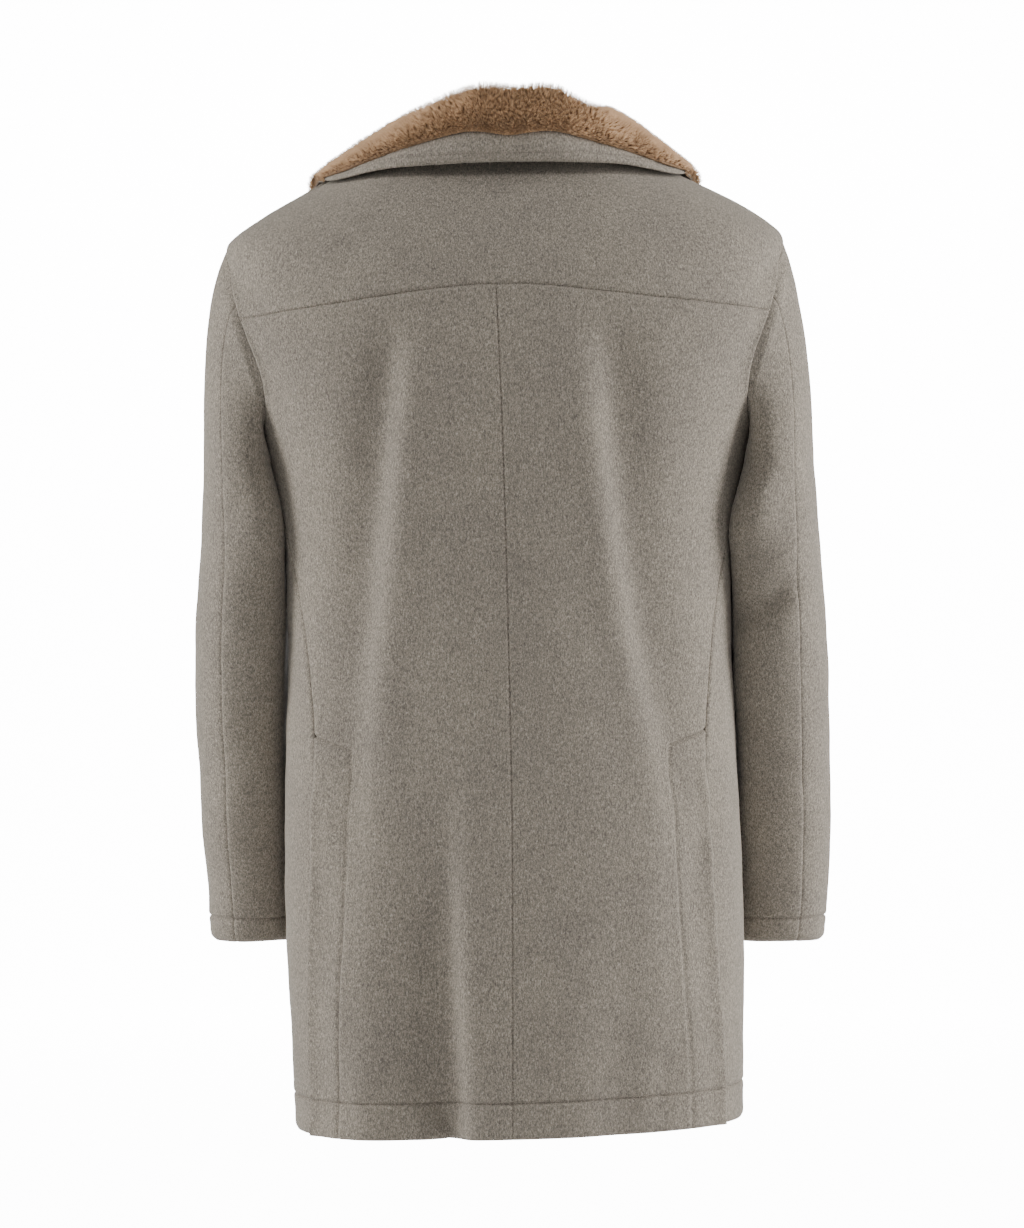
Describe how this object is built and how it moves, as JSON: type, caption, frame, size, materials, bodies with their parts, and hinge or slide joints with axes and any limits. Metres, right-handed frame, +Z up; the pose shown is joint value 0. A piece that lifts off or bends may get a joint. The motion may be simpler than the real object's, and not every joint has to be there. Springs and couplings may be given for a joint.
{
  "type": "single-breasted coat with a fur collar",
  "caption": "Thigh-length single-breasted wool coat with a back yoke, side vents, two-piece sleeves and a turned-down fur-faced collar, shaped as it is worn",
  "frame": {"origin": "the middle of the neck opening, at the height where the collar meets the shoulder seams, between the wearer's shoulders", "axes": "+Z up the wearer's body, +X to the wearer's left, +Y to the wearer's back, so the coat's front faces -Y"},
  "size_m": [0.5709, 0.3002, 0.9163],
  "materials": {
    "wool": "grey-beige wool flannel, softly milled, with a fine melange",
    "fur": "short dense brown fur",
    "horn": "dark brown horn look, satin"
  },
  "bodies": {
    "root": {"back_yoke": "wool", "back_left": "wool", "back_right": "wool", "front_left": "wool", "front_right": "wool", "vent_underlap_left": "wool", "vent_underlap_right": "wool", "sleeve_top_left": "wool", "sleeve_under_left": "wool", "sleeve_top_right": "wool", "sleeve_under_right": "wool", "collar": "wool", "fur_collar": "fur", "button_1": "horn", "button_2": "horn", "button_3": "horn", "button_4": "horn"}
  },
  "joints": []
}
